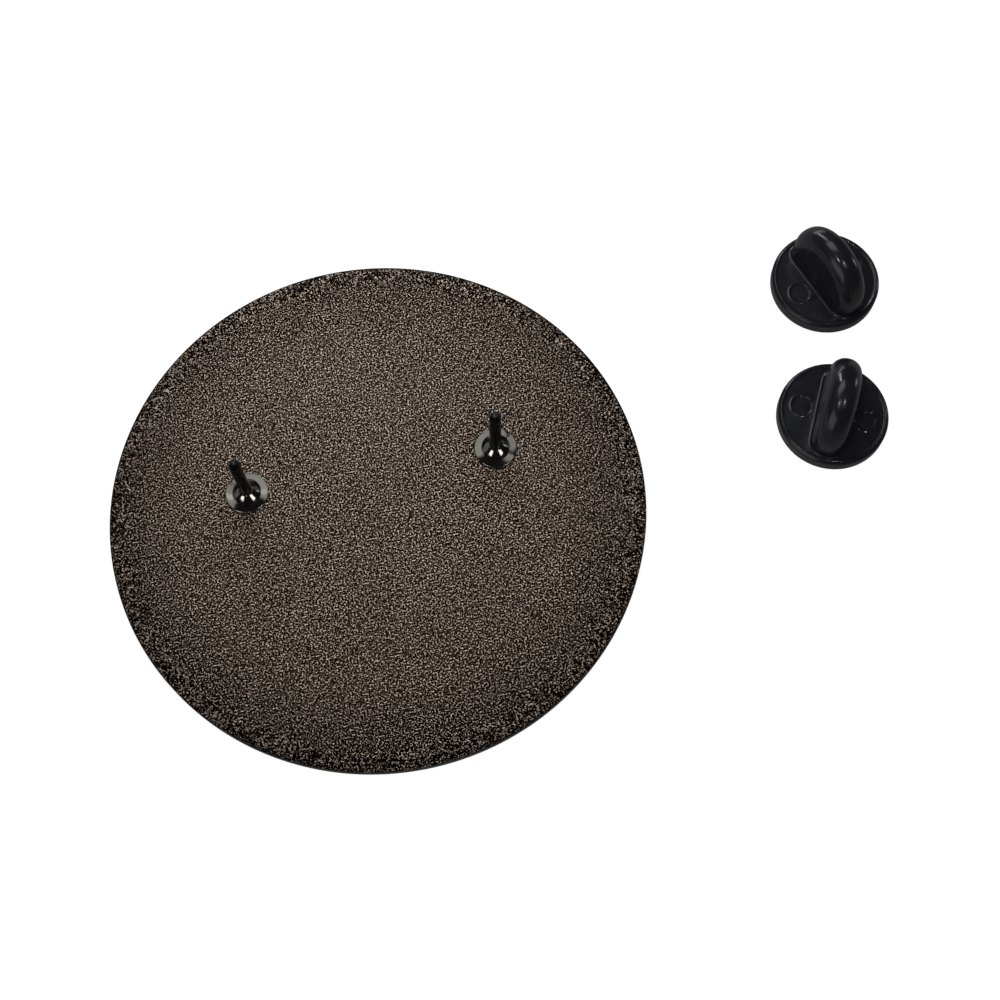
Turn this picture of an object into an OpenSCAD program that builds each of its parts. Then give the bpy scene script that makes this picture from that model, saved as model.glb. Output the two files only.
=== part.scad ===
// Round enamel pin with two nail posts on its back, and the two rubber clutches that go on them.
// The pin lies face down. z = 0 is the plane of the raised metal lines on its front, the back
// faces +Z, and the posts stand along +Z, side by side along X. The clutches lie beside the pin
// on the same plane, mouth down. The front carries a plain eight-petal rosette.

/* [Plate] */
// Diameter of the pin
plate_d = 50.8; // [40:0.2:60]
// Thickness from the raised metal lines to the back
plate_t = 1.5; // [1.2:0.1:2.5]
// Rounding of the plate's edges
edge_r = 0.25; // [0.1:0.05:0.4]
// Width of the raised rim round the front
rim_w = 0.9; // [0.6:0.1:1.5]
// Width of the raised metal lines between the cells
line_w = 0.5; // [0.3:0.05:0.7]
// Depth of the struck cells below the metal lines
cell_depth = 0.6; // [0.4:0.05:0.8]
// How far the enamel lies below the metal lines
enamel_low = 0.15; // [0.05:0.05:0.25]

/* [Rosette] */
// Width of the plain enamel border inside the rim
border_w = 3.2; // [1.5:0.1:4]
// Diameter of the round cell in the middle
centre_d = 8.4; // [6:0.2:10]
// Number of petals round the middle
petal_count = 8; // [6:1:10]
// Width of a petal as a share of the room between its neighbours
petal_share = 0.62; // [0.5:0.02:0.7]

/* [Posts] */
// Distance between the two posts
post_spacing = 24; // [16:0.5:30]
// How far the posts stand above the middle of the back
post_up = 3.4; // [0:0.2:6]
// Height of the posts' points above the back
post_h = 7.7; // [6:0.1:9]
// Diameter of the nail's shank
shank_d = 1.1; // [0.9:0.05:1.2]
// Diameter of the flared cap round the foot of each post
cap_d = 4.1; // [3.6:0.1:5]
// Height of the cap above the back
cap_h = 1.05; // [0.8:0.05:1.2]

/* [Clutches] */
// Diameter of a clutch's base
base_d = 10.7; // [9:0.1:12]
// Thickness of the base
base_t = 1.45; // [1.2:0.05:2]
// Height of the whole clutch
clutch_h = 7.65; // [7:0.05:8.5]
// Thickness of the fin that the fingers pull
fin_t = 3; // [2.4:0.1:3.4]
// Distance from the fin's ends to the edge of the base
fin_inset = 0.65; // [0.4:0.05:1]
// Diameter of the blind bore, a little tighter than the shank
bore_d = 1; // [0.8:0.02:1.1]
// Depth of the bore
bore_depth = 6; // [5:0.1:6.4]

/* [Where the clutches lie] */
// Place of the upper clutch to the right of the pin's middle
upper_x = 47.8; // [44:0.1:60]
// Place of the upper clutch above the pin's middle
upper_y = 15.1; // [14:0.1:30]
// Turn of the upper clutch's fin
upper_turn = 110; // [0:1:180]
// Place of the lower clutch to the right of the pin's middle
lower_x = 44.7; // [42:0.1:60]
// Place of the lower clutch above the pin's middle
lower_y = 0.8; // [-10:0.1:1.5]
// Turn of the lower clutch's fin
lower_turn = 64; // [0:1:180]

/* [Hidden] */
$fn = 96;
overcut = 1;                       // how far a cutting shape runs past the face that it opens

plate_r = plate_d / 2;
border_r = plate_r - rim_w;        // outer edge of the enamel border
field_r = border_r - border_w - line_w; // outer edge of the petals' field
centre_r = centre_d / 2;
hub_r = centre_r + line_w;         // inner edge of the field, outside the middle cell's metal ring

petal_step = 360 / petal_count;
petal_mid = (hub_r + field_r) / 2; // how far out the widest part of a petal lies
petal_half_l = (field_r - hub_r) / 2;
petal_half_w = petal_share * petal_mid * sin(petal_step / 2);
petal_arc_r = (pow(petal_half_l, 2) + pow(petal_half_w, 2)) / (2 * petal_half_w);
petal_arc_off = petal_arc_r - petal_half_w;

solder_t = 0.08;
solder_r = 1.75;
cap_r = cap_d / 2;
brim_r = 0.0875;                   // half the thickness of the cap's thin brim at its edge
brim_rise = 0.085;                 // how far the brim climbs to the cap's raised middle
brim_top = solder_t + 2 * brim_r + brim_rise;
hub_foot_r = 1.37;                 // radius of the raised middle at its foot
hub_bulge_r = 3.54;                // radius of the raised middle's bulging side
head_r = 0.95;                     // the nail's head, held inside the cap
head_top = 0.55;
neck_r = 0.8;
shank_r = shank_d / 2;
shank_from = cap_h + 0.15;         // where the tapered neck ends and the plain shank begins
cap_hole_r = neck_r + (shank_r - neck_r) * (cap_h - head_top) / (shank_from - head_top);
groove_top = post_h - 0.8;         // the grip groove lies just below the point
groove_len = 0.4;
groove_r = shank_r - 0.13;
point_from = post_h - 0.42;
point_r = 0.2;

base_r = base_d / 2;
base_round = 0.35;
fin_r = base_r - fin_inset;
fin_round = fin_t / 2 - 0.08;      // rounding of the fin's long edges
fin_mid_z = clutch_h - fin_r;      // centre of the fin's round top
bore_r = bore_d / 2;
funnel_r = 0.8;                    // the bore's mouth opens to this radius
funnel_h = 0.3;
arc_steps = 8;

petal_nodes = [for (i = [1 : petal_count]) str("petal_", i)];
field_nodes = [for (i = [1 : petal_count]) str("field_", i)];

// Points along an arc, from angle a to angle b
function arc(cx, cy, r, a, b) = [
    for (i = [0 : arc_steps])
        let (t = a + (b - a) * i / arc_steps)
        [cx + r * cos(t), cy + r * sin(t)]];

// Points along the arc of radius r from a to b that bulges to the right of that way
function bulge(a, b, r) =
    let (half = (b - a) / 2,
         away = sqrt(r * r - half * half),
         centre = a + half + away * [-half.y, half.x] / norm(half),
         from = a - centre,
         to = b - centre)
    arc(centre.x, centre.y, r, atan2(from.y, from.x), atan2(to.y, to.x));

// A flat disc whose edges are rounded by low_round below and top_round above
module round_disc(r, h, low_round, top_round) {
    rotate_extrude()
        polygon(concat(
            [[0, 0]],
            arc(r - low_round, low_round, low_round, -90, 0),
            arc(r - top_round, h - top_round, top_round, 0, 90),
            [[0, h]]));
}

// One petal's outline: two arcs that meet in points, made wider all round by grow
module petal_outline(grow = 0) {
    translate([petal_mid, 0])
        intersection() {
            translate([0, -petal_arc_off]) circle(petal_arc_r + grow);
            translate([0, petal_arc_off]) circle(petal_arc_r + grow);
        }
}

// The field between two petals, clear of both by the width of a metal line
module field_outline() {
    reach = 2 * field_r;
    difference() {
        intersection() {
            circle(field_r);
            polygon([
                [0, 0],
                [reach * cos(petal_step / 2), -reach * sin(petal_step / 2)],
                [reach * cos(petal_step / 2), reach * sin(petal_step / 2)]]);
        }
        circle(hub_r);
        for (side = [-1, 1])
            rotate(side * petal_step / 2) petal_outline(line_w);
    }
}

module border_outline() {
    difference() {
        circle(border_r);
        circle(border_r - border_w);
    }
}

// A cell's floor lies cell_depth above the plane of the metal lines
module cell_cut() {
    translate([0, 0, -overcut]) linear_extrude(overcut + cell_depth) children();
}

module enamel_fill() {
    translate([0, 0, enamel_low]) linear_extrude(cell_depth - enamel_low) children();
}

module base_plate() {
    color("#4a463e")
        difference() {
            round_disc(plate_r, plate_t, edge_r, edge_r);
            cell_cut() border_outline();
            cell_cut() circle(centre_r);
            for (i = [0 : petal_count - 1]) {
                cell_cut() rotate(i * petal_step) petal_outline();
                cell_cut() rotate((i + 0.5) * petal_step) field_outline();
            }
        }
}

module border_enamel() {
    color("#18264f") enamel_fill() border_outline();
}

module centre_enamel() {
    color("#e0a92c") enamel_fill() circle(centre_r);
}

module petal(i) {
    color(i % 2 == 0 ? "#17786f" : "#c8523f")
        enamel_fill() rotate(i * petal_step) petal_outline();
}

module field(i) {
    color("#ece3cf") enamel_fill() rotate((i + 0.5) * petal_step) field_outline();
}

// Puts a post's parts at their place on the back; side is -1 on the left and 1 on the right
module at_post(side) {
    translate([side * post_spacing / 2, post_up, plate_t]) children();
}

module solder(side) {
    color("#6d6a66") at_post(side) cylinder(h = solder_t, r = solder_r);
}

// The flared cap: a thin brim, a domed middle, and a tapered hole that the nail stands in
module cap(side) {
    foot = [hub_foot_r, brim_top];
    brow = [cap_hole_r + 0.06, cap_h - 0.035];
    color("#8a8680")
        at_post(side)
            rotate_extrude()
                polygon(concat(
                    [[head_r, solder_t]],
                    arc(cap_r - brim_r, solder_t + brim_r, brim_r, -90, 90),
                    bulge(foot, brow, hub_bulge_r),
                    [[cap_hole_r, cap_h], [neck_r, head_top], [head_r, head_top]]));
}

// The nail: its head inside the cap, a tapered neck, the plain shank, a grip groove and a point
module post(side) {
    color("#2a2928")
        at_post(side)
            rotate_extrude()
                polygon([
                    [0, solder_t],
                    [head_r, solder_t],
                    [head_r, head_top],
                    [neck_r, head_top],
                    [shank_r, shank_from],
                    [shank_r, groove_top - groove_len],
                    [groove_r, groove_top - groove_len / 2],
                    [shank_r, groove_top],
                    [shank_r, point_from],
                    [point_r, post_h],
                    [0, post_h]]);
}

// The fin's foot: a bar with rounded corners, straight up from the base to the round top
module fin_foot() {
    corner_x = fin_r - fin_round;
    corner_y = fin_t / 2 - fin_round;
    translate([0, 0, base_t / 2])
        linear_extrude(fin_mid_z - base_t / 2)
            polygon(concat(
                arc(corner_x, corner_y, fin_round, 0, 90),
                arc(-corner_x, corner_y, fin_round, 90, 180),
                arc(-corner_x, -corner_y, fin_round, 180, 270),
                arc(corner_x, -corner_y, fin_round, 270, 360)));
}

// The fin's round top: the upper half of a standing disc with rounded edges
module fin_top() {
    intersection() {
        translate([0, fin_t / 2, fin_mid_z])
            rotate([90, 0, 0])
                round_disc(fin_r, fin_t, fin_round, fin_round);
        translate([-base_d, -base_d, fin_mid_z]) cube([2 * base_d, 2 * base_d, base_d]);
    }
}

module clutch(x, y, turn) {
    color("#1d1d21")
        translate([x, y, 0])
            rotate(turn)
                difference() {
                    union() {
                        round_disc(base_r, base_t, base_round / 2, base_round);
                        fin_foot();
                        fin_top();
                    }
                    translate([0, 0, -overcut]) cylinder(h = overcut + bore_depth, r = bore_r);
                    cylinder(h = funnel_h, r1 = funnel_r, r2 = bore_r);
                }
}

base_plate();
border_enamel();
centre_enamel();
for (i = [0 : petal_count - 1]) {
    petal(i);
    field(i);
}
solder(-1);  // solder_left
solder(1);  // solder_right
cap(-1);  // cap_left
cap(1);  // cap_right
post(-1);  // post_left
post(1);  // post_right
clutch(upper_x, upper_y, upper_turn);  // clutch_upper
clutch(lower_x, lower_y, lower_turn);  // clutch_lower
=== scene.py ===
"""A round enamel pin lying on its front, with its two rubber clutches beside it.

Lengths are in millimetres until a mesh is made; Blender works in metres.
"""

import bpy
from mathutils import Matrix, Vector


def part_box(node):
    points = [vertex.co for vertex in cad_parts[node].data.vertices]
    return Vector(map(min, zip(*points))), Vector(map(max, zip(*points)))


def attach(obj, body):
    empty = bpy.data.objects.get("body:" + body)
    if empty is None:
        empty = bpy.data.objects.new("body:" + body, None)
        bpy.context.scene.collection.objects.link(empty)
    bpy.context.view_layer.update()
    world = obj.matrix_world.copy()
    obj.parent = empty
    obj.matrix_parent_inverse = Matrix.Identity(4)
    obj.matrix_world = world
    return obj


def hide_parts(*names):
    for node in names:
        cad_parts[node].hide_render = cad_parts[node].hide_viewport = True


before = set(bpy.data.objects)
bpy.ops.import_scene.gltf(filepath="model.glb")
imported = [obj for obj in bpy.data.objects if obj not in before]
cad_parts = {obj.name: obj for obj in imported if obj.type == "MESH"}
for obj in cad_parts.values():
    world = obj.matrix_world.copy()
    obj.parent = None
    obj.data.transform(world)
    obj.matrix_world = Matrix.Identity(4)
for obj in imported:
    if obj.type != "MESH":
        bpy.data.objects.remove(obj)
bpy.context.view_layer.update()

import math

import bmesh
import bpy
import numpy as np
from mathutils import Matrix, Vector
from mathutils.geometry import delaunay_2d_cdt

MM = 0.001
TAU = 2 * math.pi

# The camera: where it stands, what it looks at, and how it is tipped
EYE = (3.1, -51.4, 135.8)
AIM = (11.5, -1.3, 0.0)
ROLL = math.radians(11.6)
LENS = 54.576
SENSOR = 36.0

# The floor's brightness: as the camera sees it, and as the pieces do
FLOOR_WHITE = 0.95
FLOOR_GLOW = 0.05

# The plate, struck from one disc; only the lowest rings of its side are polished
PLATE_R = 25.4
PLATE_T = 1.5
EDGE_R = 0.25
CELL_DEPTH = 0.6
LINE_SOFT = 0.06
RIM_STEPS = 720
LOW_FILLET_STEPS = 6
HIGH_FILLET_STEPS = 7
POLISHED_RINGS = 5

# The back's fall towards the rim, its slow swell, and the dip under each cap
EDGE_FALL = 0.11
EDGE_FALL_W = 3.4
SWELL_WAVE = 9.0
SWELL_HIGH = 0.004
FOOT_R = 1.9
FOOT_SINK = 0.02
FOOT_SOFT = 0.25
FOOT_CALM = 0.8

# The grit: its repeat, its mesh, its lumps, and where it fades out at the rim
GRIT_TILE = 53.0
GRIT_PITCH = 0.156
GRIT_JITTER = 0.16
RING_SQUEEZE = 0.92
GRIT_WAVE = 0.37
GRIT_SPREAD = 0.30
GRIT_HIGH = 0.010
SMOOTH_RIM = 0.05
GRIT_FADE = 0.25

# The enamel: how low it lies, how it sags, and how far it climbs the metal lines
ENAMEL_LOW = 0.15
ENAMEL_SAG = 0.035
ENAMEL_SAG_W = 1.3
ENAMEL_CLIMB = 0.085
CLIMB_W = 0.22

# The ripple in the enamel, and the points of its mesh inside each cell's outline
ENAMEL_TILE = 60.0
RIPPLE_WAVE = 3.5
RIPPLE_HIGH = 0.004
RIPPLE_FADE = 0.4
OUTLINE_STEP = 0.45
INNER_LINES = (0.07, 0.15, 0.26, 0.42)
INNER_GAP = 0.62
INNER_STEP = 0.48

# The solder; the heights of all the fastenings are above the plate's back
LATHE_STEPS = 144
SOLDER_T = 0.08
SOLDER_R = 1.75
SOLDER_BEVEL = 0.08
SOLDER_SINK = 0.04

# The cap: its brim, the arc of its domed middle, and its hole
CAP_R = 2.05
BRIM_TOP = 0.34
BRIM_DROP = 0.085
DOME_R = 3.54
DOME_LOW = -1.85
DOME_IN = -1.41
DOME_FROM = 38.2
DOME_TO = 56
HOLE_R = 0.608
CAP_INSIDE_R = 0.97
CAP_INSIDE_H = 0.5

# The post: its head and neck inside the cap, and the groove and point at its top
POST_STEPS = 72
POST_PITCH = 0.3
POST_R = 0.55
POST_H = 7.7
HEAD_R = 0.95
HEAD_TOP = 0.5
NECK_R = 0.8
NECK_LOW = 0.55
NECK_TOP = 1.2
GROOVE_R = 0.42
GROOVE_Z = 6.7
GROOVE_HALF = 0.2
POINT_R = 0.22
POINT_LOW = 7.28

# The clutches, each in its own frame with its fin along X
BASE_R = 5.35
BASE_T = 1.45
BASE_ROUND = 0.35
FIN_R = 4.7
FIN_T = 3.0
FIN_ROUND = 1.42
FIN_MID_Z = 2.95
FIN_FILLET = 0.26
BORE_R = 0.5
BORE_DEPTH = 6.0
FUNNEL_R = 0.8
FUNNEL_H = 0.3

# The lip round a clutch's base, and the ejector mark on each side of its fin
LIP_R = 5.02
LIP_W = 0.12
LIP_HIGH = 0.06
FACE_R = 5.0
FACE_LOW = 0.04
MARK_OFF = 3.1
MARK_R = 1.10
MARK_W = 0.09
MARK_HIGH = 0.05
MARK_LOW = 0.10

# The clutches' mesh, and how far each is turned
CLUTCH_PITCH = 0.115
CLUTCH_SPARE = 0.3
SETTLE_STEPS = 4
TURNS = {"clutch_upper": math.radians(110), "clutch_lower": math.radians(64)}

# The enamels: each one's deep and light tone
ENAMEL_TONES = {
    "navy": ((0.0055, 0.014, 0.055), (0.009, 0.022, 0.085)),
    "amber": ((0.64, 0.30, 0.015), (0.78, 0.42, 0.03)),
    "teal": ((0.006, 0.15, 0.125), (0.012, 0.21, 0.18)),
    "coral": ((0.52, 0.065, 0.028), (0.64, 0.105, 0.05)),
    "cream": ((0.78, 0.70, 0.53), (0.87, 0.80, 0.64)),
}
PETALS = 8


# ---------------------------------------------------------------- small tools

def smoothstep(x):
    """0 below 0, 1 above 1, and a smooth rise between."""
    x = np.clip(x, 0.0, 1.0)
    return x * x * (3 - 2 * x)


def middle(node):
    """The middle of a CAD node's box, in mm."""
    low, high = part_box(node)
    return (np.array(low) + np.array(high)) / 2 / MM


def grid_noise(side, count, wave, spread, seed):
    """A square of repeating noise whose waves are all about one length, as a sampler."""
    rng = np.random.default_rng(seed)
    freq_x = np.fft.fftfreq(count, side / count)
    freq_y = np.fft.rfftfreq(count, side / count)
    freq = np.hypot(freq_x[:, None], freq_y[None, :])
    gain = np.exp(-0.5 * ((freq * wave - 1) / spread) ** 2)
    field = np.fft.irfft2(np.fft.rfft2(rng.standard_normal((count, count))) * gain)
    field /= field.std()

    def sample(x, y):
        u = np.asarray(x) / side * count
        v = np.asarray(y) / side * count
        i, j = np.floor(u).astype(int), np.floor(v).astype(int)
        a, b = u - i, v - j
        i0, i1, j0, j1 = i % count, (i + 1) % count, j % count, (j + 1) % count
        low = field[i0, j0] * (1 - a) + field[i1, j0] * a
        high = field[i0, j1] * (1 - a) + field[i1, j1] * a
        return low * (1 - b) + high * b

    return sample


def soften(points, radius, steps=5):
    """The same open line with each inner corner replaced by a small curve."""
    points = [np.array(p, float) for p in points]
    out = [points[0]]
    for before, here, after in zip(points, points[1:], points[2:]):
        back, ahead = before - here, after - here
        reach = min(radius, np.linalg.norm(back) * 0.45, np.linalg.norm(ahead) * 0.45)
        start = here + back / np.linalg.norm(back) * reach
        end = here + ahead / np.linalg.norm(ahead) * reach
        for i in range(steps + 1):
            t = i / steps
            out.append(start * (1 - t) ** 2 + here * 2 * t * (1 - t) + end * t * t)
    return out + [points[-1]]


def arc(cx, cy, radius, start, end, steps):
    """Points along an arc, angles in degrees."""
    angles = np.radians(np.linspace(start, end, steps + 1))
    return [(cx + radius * math.cos(a), cy + radius * math.sin(a)) for a in angles]


def lathe(profile, steps, closed, wobble=None):
    """A turned form from (radius, height) points; closed joins the last to the first."""
    verts, faces, rings = [], [], []
    for radius, height in profile:
        if radius < 1e-6:
            rings.append([len(verts)])
            verts.append((0.0, 0.0, height))
            continue
        rings.append(list(range(len(verts), len(verts) + steps)))
        for i in range(steps):
            a = TAU * i / steps
            r = radius * (1 + (wobble(a, height) if wobble else 0.0))
            verts.append((r * math.cos(a), r * math.sin(a), height))
    pairs = list(zip(rings, rings[1:])) + ([(rings[-1], rings[0])] if closed else [])
    for low, high in pairs:
        for i in range(steps):
            k = (i + 1) % steps
            if len(low) == 1:
                faces.append((low[0], high[k], high[i]))
            elif len(high) == 1:
                faces.append((low[i], low[k], high[0]))
            else:
                faces.append((low[i], low[k], high[k], high[i]))
    return np.array(verts), faces


def add_piece(name, verts, faces, materials, body, node,
              sharp=40, marks=None, normals=None):
    """A finished piece: its mesh in place, its materials, hung on its body, with the CAD node it
    stands for hidden.
    """
    mesh = bpy.data.meshes.new(name)
    mesh.from_pydata([tuple(v) for v in np.asarray(verts) * MM], [], faces)
    if marks is not None:
        mesh.polygons.foreach_set("material_index", np.asarray(marks, np.int32))
    mesh.polygons.foreach_set("use_smooth", np.ones(len(mesh.polygons), bool))
    mesh.update()
    outward(mesh)
    if normals is not None:
        mesh.normals_split_custom_set_from_vertices(normals)
    else:
        mesh.set_sharp_from_angle(angle=math.radians(sharp))
    for material in materials:
        mesh.materials.append(material)
    piece = bpy.data.objects.new(name, mesh)
    bpy.context.scene.collection.objects.link(piece)
    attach(piece, body)
    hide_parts(node)
    return piece


def outward(mesh):
    """Turns every face to look out of the closed form that it is part of."""
    shape = bmesh.new()
    shape.from_mesh(mesh)
    bmesh.ops.recalc_face_normals(shape, faces=shape.faces)
    shape.to_mesh(mesh)
    shape.free()


# ---------------------------------------------------------------- materials

class Shade:
    """A material under construction: its nodes read the piece's own coordinates."""

    def __init__(self, name, **values):
        self.material = bpy.data.materials.new(name)
        self.material.use_nodes = True
        self.tree = self.material.node_tree
        self.shader = self.tree.nodes["Principled BSDF"]
        for key, value in values.items():
            self.shader.inputs[key.replace("_", " ")].default_value = value
        self.place = self.tree.nodes.new("ShaderNodeTexCoord").outputs["Object"]
        self.bump_from = None

    def noise(self, wave, detail=2.0, rough=0.5, stretch=None, twist=0.0):
        """Noise whose lumps are about wave mm across."""
        node = self.tree.nodes.new("ShaderNodeTexNoise")
        node.inputs["Scale"].default_value = 1.0 / (wave * MM)
        node.inputs["Detail"].default_value = detail
        node.inputs["Roughness"].default_value = rough
        node.inputs["Distortion"].default_value = twist
        self.tree.links.new(self.at(stretch), node.inputs["Vector"])
        return node.outputs["Fac"]

    def cells(self, wave):
        """Distance to scattered points about wave mm apart."""
        node = self.tree.nodes.new("ShaderNodeTexVoronoi")
        node.inputs["Scale"].default_value = 1.0 / (wave * MM)
        self.tree.links.new(self.place, node.inputs["Vector"])
        return node.outputs["Distance"]

    def to_axis(self, reach):
        """1 on the piece's Z axis, falling evenly to 0 at reach mm from it."""
        node = self.tree.nodes.new("ShaderNodeTexGradient")
        node.gradient_type = "SPHERICAL"
        self.tree.links.new(self.at((1 / (reach * MM), 1 / (reach * MM), 0)), node.inputs["Vector"])
        return node.outputs["Fac"]

    def at(self, stretch):
        """The piece's coordinates, scaled differently along its axes if asked."""
        if stretch is None:
            return self.place
        node = self.tree.nodes.new("ShaderNodeMapping")
        node.inputs["Scale"].default_value = stretch
        self.tree.links.new(self.place, node.inputs["Vector"])
        return node.outputs["Vector"]

    def ramp(self, source, stops):
        """Colours or values by position: stops are (position, colour or grey)."""
        node = self.tree.nodes.new("ShaderNodeValToRGB")
        band = node.color_ramp
        while len(band.elements) < len(stops):
            band.elements.new(0.5)
        for element, (position, value) in zip(band.elements, stops):
            element.position = position
            grey = isinstance(value, (int, float))
            element.color = (value, value, value, 1) if grey else (*value, 1)
        self.tree.links.new(source, node.inputs["Fac"])
        return node.outputs["Color"]

    def mix(self, factor, first, second, mode="MIX"):
        """Two colours mixed by a factor, which is a number or a socket."""
        node = self.tree.nodes.new("ShaderNodeMix")
        node.data_type = "RGBA"
        node.blend_type = mode
        sockets = (node.inputs[0], node.inputs[6], node.inputs[7])
        for socket, value in zip(sockets, (factor, first, second)):
            if isinstance(value, bpy.types.NodeSocket):
                self.tree.links.new(value, socket)
            else:
                socket.default_value = value if isinstance(value, (int, float)) else (*value, 1)
        return node.outputs[2]

    def colour(self, socket):
        self.tree.links.new(socket, self.shader.inputs["Base Color"])

    def roughness(self, socket):
        self.tree.links.new(socket, self.shader.inputs["Roughness"])

    def bump(self, source, height, strength=1.0):
        """Relief of about height mm, added to what the material already has."""
        node = self.tree.nodes.new("ShaderNodeBump")
        node.inputs["Strength"].default_value = strength
        node.inputs["Distance"].default_value = height * MM
        self.tree.links.new(source, node.inputs["Height"])
        if self.bump_from is not None:
            self.tree.links.new(self.bump_from, node.inputs["Normal"])
        self.bump_from = node.outputs["Normal"]
        self.tree.links.new(self.bump_from, self.shader.inputs["Normal"])


def gritty_nickel():
    """The back: black nickel over a fine cast grit, with painted shade in the pits, painted glints
    on the tops, and painted shade darkening it towards the rim.
    """
    shade = Shade("gritty_black_nickel", Metallic=1.0, Roughness=0.28)
    cloud = shade.noise(9.0, detail=3)
    grain = shade.noise(0.15, detail=2.0)
    tone = shade.ramp(cloud, [(0.3, (0.362, 0.290, 0.240)), (0.7, (0.404, 0.327, 0.273))])
    # painted shade in the pits of the grit and painted glints on its tops
    painted_pit_shade_and_glints = [(0.505, (0.003, 0.0015, 0.001)), (0.565, (0.18, 0.172, 0.163)), (0.655, (1.0, 1.0, 1.0))]
    # painted shade: the back's colour grows darker towards the rim
    painted_rim_shade = shade.ramp(shade.to_axis(PLATE_R), [(0.0, 0.58), (0.30, 1.0)])
    tone = shade.mix(1.0, tone, painted_rim_shade, "MULTIPLY")
    shade.colour(shade.mix(1.0, tone, shade.ramp(grain, painted_pit_shade_and_glints), "MULTIPLY"))
    shade.bump(grain, 0.08)
    return shade.material


def polished_nickel(name):
    """Bright black nickel: rim, metal lines, caps."""
    shade = Shade(name, Metallic=1.0)
    haze = shade.noise(1.6, detail=4)
    tone = [(0.108, 0.102, 0.092), (0.126, 0.119, 0.108)]
    shade.colour(shade.ramp(haze, [(0.3, tone[0]), (0.7, tone[1])]))
    shade.roughness(shade.ramp(shade.noise(0.5, detail=5, rough=0.6), [(0.3, 0.05), (0.75, 0.16)]))
    shade.bump(shade.noise(0.8, detail=3), 0.006)
    return shade.material


def post_nickel():
    """The posts: dark, drawn lengthwise."""
    shade = Shade("drawn_black_nickel", Metallic=1.0)
    lines = shade.noise(0.22, detail=4, stretch=(1, 1, 0.06))
    shade.colour(shade.ramp(lines, [(0.3, (0.018, 0.019, 0.022)), (0.7, (0.050, 0.051, 0.056))]))
    shade.roughness(shade.ramp(lines, [(0.3, 0.22), (0.75, 0.38)]))
    shade.bump(lines, 0.012)
    return shade.material


def solder_metal():
    """Dull tin with a grainy skin."""
    shade = Shade("solder_tin", Metallic=1.0)
    grain = shade.noise(0.35, detail=5)
    shade.colour(shade.ramp(grain, [(0.3, (0.16, 0.155, 0.15)), (0.7, (0.30, 0.29, 0.28))]))
    shade.roughness(shade.ramp(grain, [(0.3, 0.3), (0.7, 0.55)]))
    shade.bump(grain, 0.03)
    return shade.material


def rubber():
    """Black moulded rubber, satin, with faint flow marks and dust."""
    shade = Shade("black_rubber", Coat_Weight=0.0, Specular_IOR_Level=0.5)
    flow = shade.noise(3.2, detail=1.2, twist=0.4)
    speck = shade.noise(0.16, detail=2)
    tone = shade.ramp(flow, [(0.3, (0.0165, 0.0170, 0.0235)), (0.7, (0.0215, 0.0220, 0.0295))])
    dust = shade.ramp(speck, [(0.66, 1.0), (0.80, 1.7)])
    shade.colour(shade.mix(1.0, tone, dust, "MULTIPLY"))
    shade.roughness(shade.ramp(shade.noise(0.9, detail=4), [(0.3, 0.14), (0.75, 0.28)]))
    shade.bump(flow, 0.05)
    shade.bump(speck, 0.0015)
    return shade.material


def enamel(name, deep, light):
    """Fired colour: glassy, slightly cloudy, with a trace of orange peel."""
    shade = Shade(name, Roughness=0.12, Coat_Weight=0.6, Coat_Roughness=0.04, IOR=1.52)
    cloud = shade.noise(2.4, detail=4, twist=0.3)
    speck = shade.cells(0.9)
    tone = shade.ramp(cloud, [(0.3, deep), (0.7, light)])
    dots = shade.ramp(speck, [(0.04, 0.55), (0.07, 1.0)])
    shade.colour(shade.mix(0.35, tone, shade.mix(1.0, tone, dots, "MULTIPLY")))
    shade.roughness(shade.ramp(shade.noise(1.1, detail=4), [(0.3, 0.07), (0.8, 0.22)]))
    shade.bump(shade.noise(0.9, detail=2), 0.008)
    return shade.material


# ---------------------------------------------------------------- outlines

def welded(node):
    """A working copy of a CAD node's mesh, in mm, with its doubled vertices joined."""
    shape = bmesh.new()
    shape.from_mesh(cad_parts[node].data)
    bmesh.ops.scale(shape, vec=(1 / MM,) * 3, verts=shape.verts)
    bmesh.ops.remove_doubles(shape, verts=shape.verts, dist=1e-4)
    bmesh.ops.recalc_face_normals(shape, faces=shape.faces)
    return shape


def outline_loops(shape, level):
    """The closed lines round the flat faces that look down at this height, and those faces.

    Each line runs with the faces on its right-hand side, seen from above.
    """
    flat = set()
    for face in shape.faces:
        if face.normal.z < -0.99 and abs(face.calc_center_median().z - level) < 0.01:
            flat.add(face)
    ahead = {}
    for face in flat:
        for loop in face.loops:
            if all(other is face or other not in flat for other in loop.edge.link_faces):
                ahead[loop.vert] = loop.link_loop_next.vert
    loops = []
    while ahead:
        here, line = next(iter(ahead)), []
        while here in ahead:
            line.append(here)
            here = ahead.pop(here)
        loops.append(line)
    loops.sort(key=lambda line: -max(vert.co.xy.length for vert in line))
    return loops, flat


def shifted(line, by):
    """A closed line of xy points moved to its right-hand side by that much, corners kept."""
    line = np.asarray(line)
    ahead = np.roll(line, -1, 0) - line
    ahead /= np.linalg.norm(ahead, axis=1)[:, None]
    behind = np.roll(ahead, 1, 0)
    side = np.stack([ahead[:, 1], -ahead[:, 0]], 1)
    both = side + np.stack([behind[:, 1], -behind[:, 0]], 1)
    both /= np.linalg.norm(both, axis=1)[:, None]
    reach = by / np.clip((both * side).sum(1), 0.5, 1)
    return line + both * reach[:, None]


def inside_count(points, line):
    """1 where a point lies inside a closed line, else 0."""
    hits = np.zeros(len(points), int)
    x, y = points[:, 0], points[:, 1]
    for (ax, ay), (bx, by) in zip(line, np.roll(line, -1, 0)):
        spans = (ay > y) != (by > y)
        if spans.any():
            hits += spans & (x < ax + (y - ay) / (by - ay + 1e-30) * (bx - ax))
    return hits % 2


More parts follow.
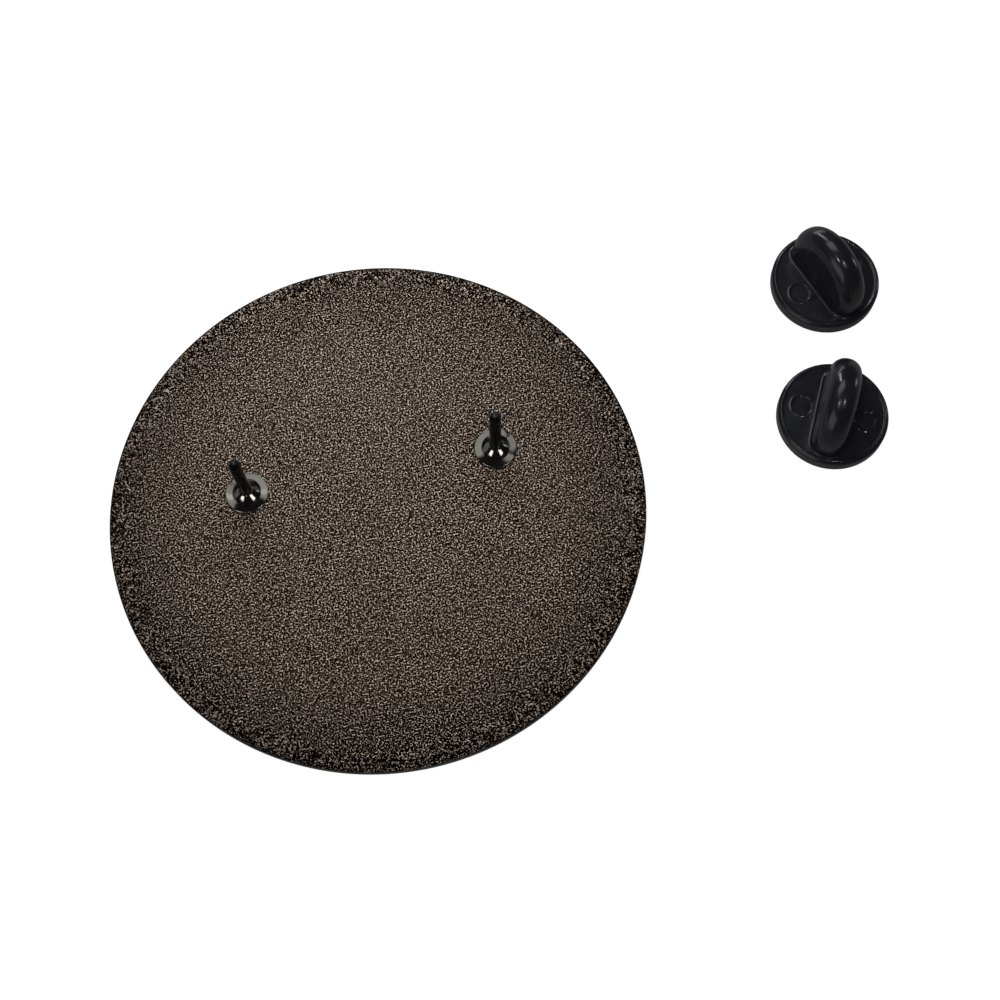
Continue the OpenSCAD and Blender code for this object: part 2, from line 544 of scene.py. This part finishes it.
def filled(lines, more=()):
    """Triangles of the region between closed lines, over their points and some more inside."""
    points, edges = [], []
    for line in lines:
        first, size = len(points), len(line)
        points += [Vector(p) for p in line]
        edges += [(first + i, first + (i + 1) % size) for i in range(size)]
    points += [Vector(p) for p in more]
    spots, _, faces, origin = delaunay_2d_cdt(points, edges, [], 0, 1e-7)[:4]
    spots = np.array([tuple(v) for v in spots])
    middles = spots[np.array(faces)].mean(1)
    odd = sum(inside_count(middles, np.asarray(line)) for line in lines) % 2 == 1
    return [tuple(origin[i][0] for i in face) for face, use in zip(faces, odd) if use]


def to_outline(points, lines):
    """How far each point is from the nearest of the closed lines."""
    best = np.full(len(points), np.inf)
    for line in lines:
        start = np.asarray(line)
        along = np.roll(start, -1, 0) - start
        size = (along ** 2).sum(1)
        gap = points[:, None, :] - start[None]
        t = np.clip((gap * along[None]).sum(2) / size[None], 0, 1)
        near = gap - along[None] * t[..., None]
        best = np.minimum(best, np.sqrt((near ** 2).sum(2)).min(1))
    return best


# ---------------------------------------------------------------- the plate

def cells_of_plate():
    """The CAD's walls and floors of the cells, and the lines round them on the front."""
    shape = welded("base_plate")
    loops, flat = outline_loops(shape, 0.0)
    keep = []
    for face in shape.faces:
        spot = face.calc_center_median()
        if face not in flat and spot.xy.length < PLATE_R - 0.6 and spot.z < PLATE_T - 0.3:
            keep.append(face)
    order, verts, faces = {}, [], []
    for face in keep:
        for vert in face.verts:
            if vert not in order:
                order[vert] = len(verts)
                verts.append(list(vert.co))
        faces.append(tuple(order[vert] for vert in face.verts))
    lines = [[order[vert] for vert in line] for line in loops[1:]]
    shape.free()
    return verts, faces, lines


def add_front(verts, faces, lines, rim):
    """The metal lines: softened along the cells, and flat between them and the rim."""
    edges = [[verts[i][:2] for i in rim]]
    owners = list(rim)
    for line in lines:
        start, last = [verts[i][:2] for i in line], line
        for i in line:
            verts[i][2] = LINE_SOFT
        for a in np.radians((22.5, 45, 67.5, 90)):
            moved = shifted(start, LINE_SOFT * (1 - math.cos(a)))
            new = list(range(len(verts), len(verts) + len(line)))
            verts += [[x, y, LINE_SOFT * (1 - math.sin(a))] for x, y in moved]
            for i in range(len(line)):
                k = (i + 1) % len(line)
                faces.append((last[i], last[k], new[k], new[i]))
            last = new
        edges.append([verts[i][:2] for i in last])
        owners += last
    faces += [tuple(owners[i] for i in face) for face in filled(edges)]


def add_ring(verts, radius, height, count, phase=0.0):
    """A ring of points; gives their numbers and their angles."""
    angles = phase + TAU * np.arange(count) / count
    first = len(verts)
    verts += [[radius * math.cos(a), radius * math.sin(a), height] for a in angles]
    return list(range(first, first + count)), angles


def zip_rings(faces, outer, inner):
    """Triangles between two rings of points with different counts."""
    (out, out_a), (inn, inn_a) = outer, inner
    turn = (inn_a - out_a[0] + math.pi) % TAU - math.pi
    first = int(np.abs(turn).argmin())
    inn = inn[first:] + inn[:first]
    step_out, step_in = TAU / len(out), TAU / len(inn)
    gap, i, j = turn[first], 0, 0
    while i < len(out) or j < len(inn):
        a, b = out[i % len(out)], inn[j % len(inn)]
        if j >= len(inn) or (i < len(out) and (i + 1) * step_out <= (j + 1) * step_in + gap):
            faces.append((a, out[(i + 1) % len(out)], b))
            i += 1
        else:
            faces.append((a, inn[(j + 1) % len(inn)], b))
            j += 1


def back_height(x, y, feet):
    """The gritty back: level in the middle, falling a little towards the rim."""
    grit = grid_noise(GRIT_TILE, 1024, GRIT_WAVE, GRIT_SPREAD, 11)
    swell = grid_noise(GRIT_TILE, 128, SWELL_WAVE, 0.5, 12)
    r = np.hypot(x, y)
    edge = PLATE_R - EDGE_R
    fall = EDGE_FALL * np.clip((r - edge + EDGE_FALL_W) / EDGE_FALL_W, 0, 1) ** 2
    fade = smoothstep((edge - SMOOTH_RIM - r) / GRIT_FADE)
    sink = np.zeros_like(r)
    for foot_x, foot_y in feet:
        under = smoothstep((FOOT_R - np.hypot(x - foot_x, y - foot_y)) / FOOT_SOFT)
        fade = fade * (1 - FOOT_CALM * under)
        sink += FOOT_SINK * under
    relief = np.tanh(grit(x, y) * 0.8) / 0.66
    return PLATE_T - fall - sink + GRIT_HIGH * relief * fade + SWELL_HIGH * swell(x, y)


def make_plate(feet):
    """The struck plate: softened metal lines in front, gritty side and back."""
    verts, faces, lines = cells_of_plate()
    flat_r = PLATE_R - EDGE_R
    top = PLATE_T - EDGE_FALL
    profile = arc(flat_r, EDGE_R, EDGE_R, -90, 0, LOW_FILLET_STEPS)
    profile += arc(flat_r, top - EDGE_R, EDGE_R, 0, 90, HIGH_FILLET_STEPS)
    rings = [add_ring(verts, r, z, RIM_STEPS) for r, z in profile]
    add_front(verts, faces, lines, rings[0][0])
    first_side = len(faces)
    for low, high in zip(rings, rings[1:]):
        for i in range(RIM_STEPS):
            k = (i + 1) % RIM_STEPS
            faces.append((low[0][i], low[0][k], high[0][k], high[0][i]))
    first_vert = len(verts)
    rng = np.random.default_rng(7)
    last, spread = rings[-1], []
    widest = flat_r - 0.07
    radii = np.linspace(widest, 0, round(widest / (GRIT_PITCH * RING_SQUEEZE)) + 1)
    for number, radius in enumerate(radii):
        count = max(round(TAU * radius / GRIT_PITCH), 1) if radius > GRIT_PITCH / 2 else 1
        if count < 3:
            break
        ring = add_ring(verts, radius, PLATE_T, count, rng.random() * TAU)
        spread += [0.0 if number < 2 else GRIT_JITTER * GRIT_PITCH] * count
        zip_rings(faces, last, ring)
        last = ring
    hub = len(verts)
    verts.append([0.0, 0.0, PLATE_T])
    spread.append(0.0)
    ends = last[0]
    faces += [(ends[i], ends[(i + 1) % len(ends)], hub) for i in range(len(ends))]
    verts = np.array(verts)
    back = verts[first_vert:]
    back[:, :2] += rng.normal(0, 1, (len(back), 2)).clip(-1.5, 1.5) * np.array(spread)[:, None]
    back[:, 2] = back_height(back[:, 0], back[:, 1], feet)
    marks = np.zeros(len(faces), int)
    marks[:first_side + POLISHED_RINGS * RIM_STEPS] = 1
    shown = [gritty_nickel(), polished_nickel("polished_black_nickel")]
    piece = add_piece("plate_metal", verts, faces, shown, "pin", "base_plate",
                      sharp=50, marks=marks)
    steady = piece.modifiers.new("even_normals", "WEIGHTED_NORMAL")
    steady.keep_sharp = True
    return piece


# ---------------------------------------------------------------- the enamel

def make_enamel(node, material):
    """One cell's enamel: it sags in the middle and climbs the metal lines round it."""
    shape = welded(node)
    loops, _ = outline_loops(shape, ENAMEL_LOW)
    lines = []
    for loop in loops:
        xy = np.array([vert.co.xy for vert in loop])
        ahead = np.roll(xy, -1, 0)
        dense = []
        for start, end in zip(xy, ahead):
            parts = max(1, math.ceil(np.linalg.norm(end - start) / OUTLINE_STEP))
            dense += [start + (end - start) * i / parts for i in range(parts)]
        lines.append(np.array(dense))
    shape.free()
    more = []
    for depth in INNER_LINES:
        for line in lines:
            moved = shifted(line, depth)
            more.append(moved[to_outline(moved, lines) > depth * 0.97])
    every = np.concatenate(lines)
    low, high = every.min(0), every.max(0)
    grid = []
    for k, y in enumerate(np.arange(low[1], high[1], INNER_STEP * 0.866)):
        shift = (k % 2) * INNER_STEP / 2
        grid += [(x + shift, y) for x in np.arange(low[0], high[0], INNER_STEP)]
    grid = np.array(grid)
    odd = sum(inside_count(grid, line) for line in lines) % 2 == 1
    grid = grid[odd]
    more.append(grid[to_outline(grid, lines) > INNER_GAP])
    more = np.concatenate(more)
    odd = sum(inside_count(more, line) for line in lines) % 2 == 1
    more = more[odd]
    skin = filled(lines, more)
    spots = np.concatenate([every, more])
    depth = to_outline(spots, lines)
    ripple = grid_noise(ENAMEL_TILE, 128, RIPPLE_WAVE, 0.5, 21)
    height = ENAMEL_LOW + ENAMEL_SAG * (1 - np.exp(-depth / ENAMEL_SAG_W))
    height -= ENAMEL_CLIMB * np.exp(-depth / CLIMB_W)
    height += RIPPLE_HIGH * ripple(spots[:, 0], spots[:, 1]) * smoothstep(depth / RIPPLE_FADE)
    verts = [(x, y, z) for (x, y), z in zip(spots, height)]
    faces = list(skin)
    first = len(verts)
    verts += [(x, y, CELL_DEPTH) for x, y in every]
    start = 0
    for line in lines:
        size = len(line)
        for i in range(size):
            k = (i + 1) % size
            faces.append((start + i, start + k, first + start + k, first + start + i))
        start += size
    faces += [tuple(first + i for i in face) for face in filled(lines)]
    return add_piece("enamel_" + node.replace("_enamel", ""), verts, faces, [material],
                     "pin", node, sharp=60)


# ---------------------------------------------------------------- the fastenings

def make_solder(side, metal):
    """The thin, uneven disc of solder under a cap."""
    x, y, _ = middle("solder_" + side)
    base = PLATE_T - SOLDER_SINK
    top = PLATE_T + SOLDER_T
    edge = [(SOLDER_R - 0.05, base), (SOLDER_R, base + 0.06), (SOLDER_R - SOLDER_BEVEL, top)]
    profile = soften([(0, base)] + edge + [(0, top)], 0.05)
    phase = x

    def wobble(a, _):
        return 0.02 * math.sin(3 * a + phase) + 0.014 * math.sin(7 * a + 2 * phase)

    verts, faces = lathe(profile, LATHE_STEPS, False, wobble)
    return add_piece("solder_disc_" + side, verts + (x, y, 0), faces, [metal],
                     "pin", "solder_" + side)


def make_cap(side, metal):
    """The pressed cap that holds a post: a thin sloping brim, a domed middle and a hole."""
    x, y, _ = middle("post_" + side)
    edge_r = (BRIM_TOP - BRIM_DROP - SOLDER_T) / 2
    rim = arc(CAP_R - edge_r, SOLDER_T + edge_r, edge_r, -90, 84, 12)
    flare = [(1.72, BRIM_TOP - 0.050), (1.50, BRIM_TOP - 0.019)]
    dome = arc(DOME_IN, DOME_LOW, DOME_R, DOME_FROM, DOME_TO, 26)
    dome = [(r, z) for r, z in dome if r > HOLE_R + 0.06]
    top = dome[-1][1]
    lip = [(HOLE_R + 0.02, top + 0.01), (HOLE_R, top - 0.04), (HOLE_R + 0.02, top - 0.1)]
    inside = [(0.78, 0.56), (CAP_INSIDE_R, CAP_INSIDE_H)]
    profile = [(CAP_INSIDE_R, SOLDER_T)] + rim + flare + dome + lip + inside
    verts, faces = lathe(profile, LATHE_STEPS, True)
    verts = verts + (x, y, PLATE_T)
    return add_piece("cap_metal_" + side, verts, faces, [metal], "pin", "cap_" + side,
                     sharp=35)


def make_post(side, metal):
    """The nail: a head inside the cap, a shank, a grip groove near the top and a blunt point."""
    x, y, _ = middle("post_" + side)
    head = [(0, SOLDER_T), (HEAD_R, SOLDER_T), (HEAD_R, HEAD_TOP), (NECK_R, NECK_LOW)]
    shank = [(POST_R, NECK_TOP), (POST_R, GROOVE_Z - GROOVE_HALF)]
    groove = [(GROOVE_R, GROOVE_Z), (POST_R, GROOVE_Z + GROOVE_HALF)]
    point = [(POST_R, POINT_LOW), (POINT_R, POST_H), (0, POST_H)]
    profile = soften(head + shank + groove + point, 0.07)
    profile[0], profile[-1] = (0, SOLDER_T), (0, POST_H)

    def wobble(a, z):
        return 0.012 * math.sin(2 * a + z * 0.7 + x) + 0.006 * math.sin(5 * a - 2.1 * z)

    long = []
    for start, end in zip(profile, profile[1:]):
        parts = max(1, math.ceil(abs(end[1] - start[1]) / POST_PITCH))
        start, end = np.array(start), np.array(end)
        long += [tuple(start + (end - start) * i / parts) for i in range(parts)]
    long.append(profile[-1])
    verts, faces = lathe(long, POST_STEPS, False, wobble)
    return add_piece("post_metal_" + side, verts + (x, y, PLATE_T), faces, [metal],
                     "pin", "post_" + side, sharp=60)


# ---------------------------------------------------------------- the clutches

def rounded(a, b, radius):
    """Distance to a box corner region rounded by radius, from two signed distances."""
    outside = np.hypot(np.maximum(a + radius, 0), np.maximum(b + radius, 0))
    return outside + np.minimum(np.maximum(a, b) + radius, 0) - radius


def blended(a, b, soft):
    """The union of two forms with a fillet about soft wide."""
    h = np.clip(0.5 + 0.5 * (b - a) / soft, 0, 1)
    return b + (a - b) * h - soft * h * (1 - h)


def clutch_distance(p):
    """How far a point is outside a clutch's surface, about, in mm."""
    x, y, z = p[..., 0], p[..., 1], p[..., 2]
    r = np.hypot(x, y)
    off = np.hypot(x, np.abs(y) - MARK_OFF)
    lip = LIP_HIGH * np.exp(-((r - LIP_R) / LIP_W) ** 2)
    lip = lip - FACE_LOW * smoothstep((FACE_R - r) / 0.16)
    mark = MARK_HIGH * np.exp(-((off - MARK_R) / MARK_W) ** 2)
    mark = mark - MARK_LOW * smoothstep((MARK_R - 0.02 - off) / 0.10)
    up = z - (lip + mark) * (z > BASE_T / 2)
    edge = np.where(up > BASE_T / 2, BASE_ROUND, BASE_ROUND / 2)
    base = rounded(r - BASE_R, np.abs(up - BASE_T / 2) - BASE_T / 2, edge)
    high = np.maximum(z - FIN_MID_Z, 0)
    side = np.hypot(x, high) - FIN_R
    half = FIN_T / 2 + 0.05 * np.clip(FIN_MID_Z - z, 0, 2) - 0.04 * np.clip((z - 4) / 3.6, 0, 1)
    fin = rounded(side, np.abs(y) - half, FIN_ROUND)
    fin = np.maximum(fin, BASE_T / 2 - z)
    form = blended(base, fin, FIN_FILLET)
    funnel = BORE_R + (FUNNEL_R - BORE_R) * np.clip(1 - z / FUNNEL_H, 0, 1)
    bore = np.maximum(r - funnel, z - BORE_DEPTH)
    return np.maximum(form, -bore)


def slope_of(field, p, step=0.004):
    """The field's gradient at some points."""
    out = np.empty_like(p)
    for axis in range(3):
        ahead, behind = p.copy(), p.copy()
        ahead[:, axis] += step
        behind[:, axis] -= step
        out[:, axis] = (field(ahead) - field(behind)) / (2 * step)
    return out


def skin_of(field, low, high, pitch):
    """A closed mesh of the surface where the field is zero, on points set by a grid."""
    axes = [np.arange(a, b + pitch, pitch) for a, b in zip(low, high)]
    value = field(np.stack(np.meshgrid(*axes, indexing="ij"), -1))
    shape = tuple(n - 1 for n in value.shape)
    total, count = np.zeros(shape + (3,)), np.zeros(shape)
    for axis in range(3):
        others = [k for k in range(3) if k != axis]
        for da in (0, 1):
            for db in (0, 1):
                cut_a = [None] * 3
                cut_a[axis] = slice(0, -1)
                cut_b = [None] * 3
                cut_b[axis] = slice(1, None)
                for k, d in zip(others, (da, db)):
                    cut_a[k] = cut_b[k] = slice(d, value.shape[k] - 1 + d)
                a, b = value[tuple(cut_a)], value[tuple(cut_b)]
                cross = (a < 0) != (b < 0)
                t = np.where(cross, a / np.where(cross, a - b, 1), 0)
                count += cross
                total[..., axis] += np.where(cross, t, 0)
                for k, d in zip(others, (da, db)):
                    total[..., k] += np.where(cross, d, 0)
    used = count > 0
    number = np.full(shape, -1)
    number[used] = np.arange(used.sum())
    cell = np.argwhere(used)
    points = np.array([a[0] for a in axes]) + (cell + total[used] / count[used][:, None]) * pitch
    quads = []
    for axis in range(3):
        b, c = (axis + 1) % 3, (axis + 2) % 3
        first = [slice(None)] * 3
        first[axis] = slice(0, -1)
        second = [slice(None)] * 3
        second[axis] = slice(1, None)
        v0, v1 = value[tuple(first)] < 0, value[tuple(second)] < 0
        spots = np.argwhere(v0 != v1)
        spots = spots[(spots[:, b] > 0) & (spots[:, c] > 0)]
        corners = []
        for db, dc in ((1, 1), (0, 1), (0, 0), (1, 0)):
            at = spots.copy()
            at[:, b] -= db
            at[:, c] -= dc
            corners.append(number[tuple(at.T)])
        quad = np.stack(corners, 1)
        solid_first = v0[tuple(spots.T)]
        quad[~solid_first] = quad[~solid_first][:, ::-1]
        quads.append(quad)
    return points, np.concatenate(quads)


def make_clutch(name, material):
    """A moulded rubber clutch: a round base, a rounded fin to hold, and a blind bore."""
    reach = BASE_R + CLUTCH_SPARE
    low = (-reach, -reach, -CLUTCH_SPARE)
    high = (reach, reach, FIN_MID_Z + FIN_R + CLUTCH_SPARE)
    points, quads = skin_of(clutch_distance, low, high, CLUTCH_PITCH)
    for _ in range(SETTLE_STEPS):
        slope = slope_of(clutch_distance, points)
        size = (slope ** 2).sum(1).clip(0.2)
        points -= slope * (clutch_distance(points) / size)[:, None]
    slope = slope_of(clutch_distance, points, 0.02)
    slope /= np.linalg.norm(slope, axis=1)[:, None].clip(1e-6)
    c, s = math.cos(TURNS[name]), math.sin(TURNS[name])
    turn = np.array([[c, s, 0], [-s, c, 0], [0, 0, 1]])
    x, y, _ = middle(name)
    points = points @ turn + (x, y, 0)
    return add_piece(name + "_rubber", points, quads.tolist(), [material], name, name,
                     normals=slope @ turn)


# ---------------------------------------------------------------- light, floor, camera

def area_light(name, spot, size, radiance):
    """A rectangular soft light that faces the object's middle, its brightness as seen."""
    data = bpy.data.lights.new(name, "AREA")
    data.shape = "RECTANGLE"
    data.size, data.size_y = size[0] * MM, size[1] * MM
    data.energy = radiance * math.pi * data.size * data.size_y
    lamp = bpy.data.objects.new(name, data)
    lamp.location = Vector(spot) * MM
    aim = Vector(AIM) * MM - lamp.location
    lamp.rotation_euler = aim.to_track_quat("-Z", "Y").to_euler()
    bpy.context.scene.collection.objects.link(lamp)
    return lamp


def make_world(level, seen):
    """A dim even surround; what the camera sees of it beyond the floor is pale."""
    world = bpy.data.worlds.new("studio")
    bpy.context.scene.world = world
    world.use_nodes = True
    tree = world.node_tree
    light = tree.nodes["Background"]
    light.inputs["Color"].default_value = (level, level, level * 1.02, 1)
    pale = tree.nodes.new("ShaderNodeBackground")
    pale.inputs["Color"].default_value = (seen, seen, seen, 1)
    path = tree.nodes.new("ShaderNodeLightPath")
    mix = tree.nodes.new("ShaderNodeMixShader")
    tree.links.new(path.outputs["Is Camera Ray"], mix.inputs[0])
    tree.links.new(light.outputs[0], mix.inputs[1])
    tree.links.new(pale.outputs[0], mix.inputs[2])
    tree.links.new(mix.outputs[0], tree.nodes["World Output"].inputs["Surface"])


def make_floor():
    """A plain pale sheet that stays white; from below it lets the front be seen."""
    mesh = bpy.data.meshes.new("floor")
    half, low = 1.5, -0.0004
    corners = [(-half, -half, low), (half, -half, low), (half, half, low), (-half, half, low)]
    mesh.from_pydata(corners, [], [(0, 1, 2, 3)])
    floor = bpy.data.objects.new("floor", mesh)
    bpy.context.scene.collection.objects.link(floor)
    shade = Shade("pale_floor", Roughness=0.9)
    shade.shader.inputs["Base Color"].default_value = (0.35, 0.35, 0.35, 1)
    shade.shader.inputs["Emission Color"].default_value = (1, 1, 1, 1)
    tree = shade.tree
    path = tree.nodes.new("ShaderNodeLightPath")
    glow = tree.nodes.new("ShaderNodeMapRange")
    glow.inputs["To Min"].default_value = FLOOR_GLOW
    glow.inputs["To Max"].default_value = FLOOR_WHITE
    tree.links.new(path.outputs["Is Camera Ray"], glow.inputs["Value"])
    tree.links.new(glow.outputs[0], shade.shader.inputs["Emission Strength"])
    side = tree.nodes.new("ShaderNodeNewGeometry")
    either = tree.nodes.new("ShaderNodeMath")
    either.operation = "MAXIMUM"
    tree.links.new(side.outputs["Backfacing"], either.inputs[0])
    tree.links.new(path.outputs["Is Shadow Ray"], either.inputs[1])
    clear = tree.nodes.new("ShaderNodeBsdfTransparent")
    mix = tree.nodes.new("ShaderNodeMixShader")
    tree.links.new(either.outputs[0], mix.inputs[0])
    tree.links.new(shade.shader.outputs[0], mix.inputs[1])
    tree.links.new(clear.outputs[0], mix.inputs[2])
    tree.links.new(mix.outputs[0], tree.nodes["Material Output"].inputs["Surface"])
    mesh.materials.append(shade.material)


def make_camera():
    """The view: from above, in front of the pin's lower edge, a little tipped."""
    data = bpy.data.cameras.new("camera")
    data.sensor_width, data.lens = SENSOR, LENS
    data.clip_start, data.clip_end = 0.005, 10
    camera = bpy.data.objects.new("camera", data)
    bpy.context.scene.collection.objects.link(camera)
    look = (Vector(AIM) - Vector(EYE)).normalized()
    across = look.cross(Vector((0, 1, 0))).normalized()
    over = across.cross(look)
    right = across * math.cos(ROLL) - over * math.sin(ROLL)
    up = across * math.sin(ROLL) + over * math.cos(ROLL)
    turn = Matrix((right, up, -look)).transposed().to_4x4()
    camera.matrix_world = Matrix.Translation(Vector(EYE) * MM) @ turn
    bpy.context.scene.camera = camera


def make_lights():
    """Small lamps for the glints, low soft boxes behind and at the right, one below."""
    area_light("lamp_right", (76, -75, 233), (11, 11), 110.0)
    area_light("lamp_left", (-42, -42, 230), (11, 11), 110.0)
    area_light("back_strip", (-20, 270, 130), (24, 150), 9.0)
    area_light("back_low", (20, 300, 22), (170, 30), 2.5)
    area_light("right_low", (300, 60, 40), (30, 60), 3.5)
    area_light("below", (0, 0, -300), (260, 260), 1.7)


def light_only(pieces, lamps, state="INCLUDE"):
    """Keeps some lamps to some pieces, or off them, as a flag or a card does on a set."""
    lit = bpy.data.collections.new("lit_" + lamps[0].name)
    for piece in pieces:
        lit.objects.link(piece)
    for entry in lit.collection_objects:
        entry.light_linking.link_state = state
    for lamp in lamps:
        lamp.light_linking.receiver_collection = lit


def make_overhead(plate):
    """The wide soft box over the back; the plate's dark grit has a brighter one of its own."""
    light_only([plate], [area_light("overhead", (0, 104, 178), (140, 92), 1.75)], "EXCLUDE")
    light_only([plate], [
        area_light("over_plate", (17, 104, 178), (132, 92), 7.4),
        area_light("plate_front", (0, -260, 110), (300, 150), 2.6),
        area_light("plate_left", (-270, 0, 100), (260, 130), 2.6),
        area_light("plate_right", (270, 0, 100), (260, 130), 2.6),
    ])


def make_cap_lights(caps):
    """Panels in front, above and at the sides, for the polished caps alone."""
    light_only(caps, [
        area_light("front_left", (-133, -111, 105), (75, 85), 9.0),
        area_light("front_right", (111, -133, 105), (75, 85), 9.0),
        area_light("over_left", (-92, 100, 172), (44, 92), 1.5),
        area_light("over_right", (92, 100, 172), (44, 92), 1.5),
        area_light("near_left", (-102, 62, 188), (56, 56), 1.6),
        area_light("near_right", (46, 46, 195), (108, 30), 1.6),
        area_light("side_left", (-250, 120, 60), (300, 130), 0.6),
        area_light("side_right", (250, 100, 50), (200, 90), 0.3),
    ])


def make_clutch_lights(clutches):
    """A dim card at the lower left, which lifts the clutches' shaded side."""
    light_only(clutches, [area_light("card", (-190, -150, 120), (260, 200), 0.85)])


bpy.context.scene.view_settings.view_transform = "Standard"
make_camera()
make_world(0.035, 0.97)
make_floor()
make_lights()

posts = [tuple(middle("post_" + side)[:2]) for side in ("left", "right")]
make_overhead(make_plate(posts))
bright = polished_nickel("bright_black_nickel")
drawn = post_nickel()
tin = solder_metal()
caps = [make_cap(side, bright) for side in ("left", "right")]
make_cap_lights(caps)
for side in ("left", "right"):
    make_solder(side, tin)
    make_post(side, drawn)
black = rubber()
make_clutch_lights([make_clutch(name, black) for name in TURNS])

fired = {tone: enamel(tone + "_enamel", *pair) for tone, pair in ENAMEL_TONES.items()}
fills = {"border_enamel": "navy", "centre_enamel": "amber"}
for i in range(1, PETALS + 1):
    fills[f"petal_{i}"] = "teal" if i % 2 == 1 else "coral"
    fills[f"field_{i}"] = "cream"
for node, tone in fills.items():
    make_enamel(node, fired[tone])
